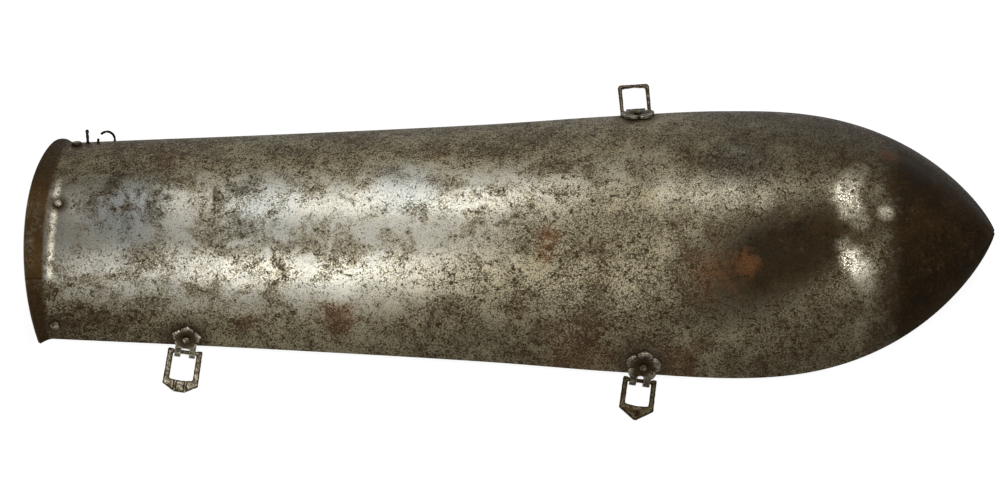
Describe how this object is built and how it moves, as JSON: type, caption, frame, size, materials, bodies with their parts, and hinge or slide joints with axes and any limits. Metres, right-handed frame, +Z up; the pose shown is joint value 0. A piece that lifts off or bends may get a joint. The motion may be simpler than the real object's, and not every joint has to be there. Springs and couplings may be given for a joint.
{
  "type": "bazuband arm guard",
  "caption": "Steel arm guard with a flared wrist, a pointed domed elbow, folded rosette clips, hinged strap loops and loose mail links.",
  "frame": {"origin": "middle of the bounding box on the surface that the guard's three clips stand on", "axes": "+X from the wrist to the elbow point, +Y to the side with one clip, +Z up, away from the arm"},
  "size_m": [0.3352, 0.1258, 0.0333],
  "materials": {
    "plate_steel": "old polished steel, finely pitted, with rust stains",
    "fitting_iron": "worn wrought iron, browned in the hollows and bright on its edges",
    "dark_iron": "dark rusted iron"
  },
  "bodies": {
    "guard": {"main_plate": "plate_steel", "wrist_rivet_near": "fitting_iron", "wrist_rivet_crest": "fitting_iron", "wrist_rivet_far": "fitting_iron", "wrist_rove_near": "dark_iron", "wrist_rove_crest": "dark_iron", "wrist_rove_far": "dark_iron", "wrist_clip": "fitting_iron", "wrist_clip_rivet": "fitting_iron", "elbow_clip_near": "fitting_iron", "elbow_clip_rivet_near": "fitting_iron", "elbow_clip_far": "fitting_iron", "elbow_clip_rivet_far": "fitting_iron"},
    "wrist_strap_loop": {"wrist_loop": "fitting_iron"},
    "elbow_strap_loop_near": {"elbow_loop_near": "fitting_iron"},
    "elbow_strap_loop_far": {"elbow_loop_far": "fitting_iron"},
    "riveted_link": {"mail_link_riveted": "dark_iron"},
    "open_link": {"mail_link_open": "dark_iron"}
  },
  "joints": [
    {"name": "wrist_loop_hinge", "type": "hinge", "parent": "guard", "child": "wrist_strap_loop", "pos_m": [-0.11313, -0.03917, 0.00185], "axis": [-0.9896, 0.1118, 0.091], "range_deg": [-200, 101]},
    {"name": "elbow_loop_near_hinge", "type": "hinge", "parent": "guard", "child": "elbow_strap_loop_near", "pos_m": [0.0445, -0.04884, 0.00184], "axis": [-0.9886, 0.127, 0.0803], "range_deg": [-201, 84]},
    {"name": "elbow_loop_far_hinge", "type": "hinge", "parent": "guard", "child": "elbow_strap_loop_far", "pos_m": [0.04419, 0.05094, 0.00177], "axis": [0.997, 0.0772, -0.01], "range_deg": [-205, 82]},
    {"name": "riveted_link_swing", "type": "hinge", "parent": "guard", "child": "riveted_link", "pos_m": [-0.14987, 0.03619, 0.00654], "axis": [0.984, 0.1311, -0.1206], "range_deg": [-50, 12]},
    {"name": "open_link_swing", "type": "hinge", "parent": "guard", "child": "open_link", "pos_m": [-0.14619, 0.03637, 0.00654], "axis": [0.9992, 0.0331, 0.0227], "range_deg": [-47, 18]}
  ]
}
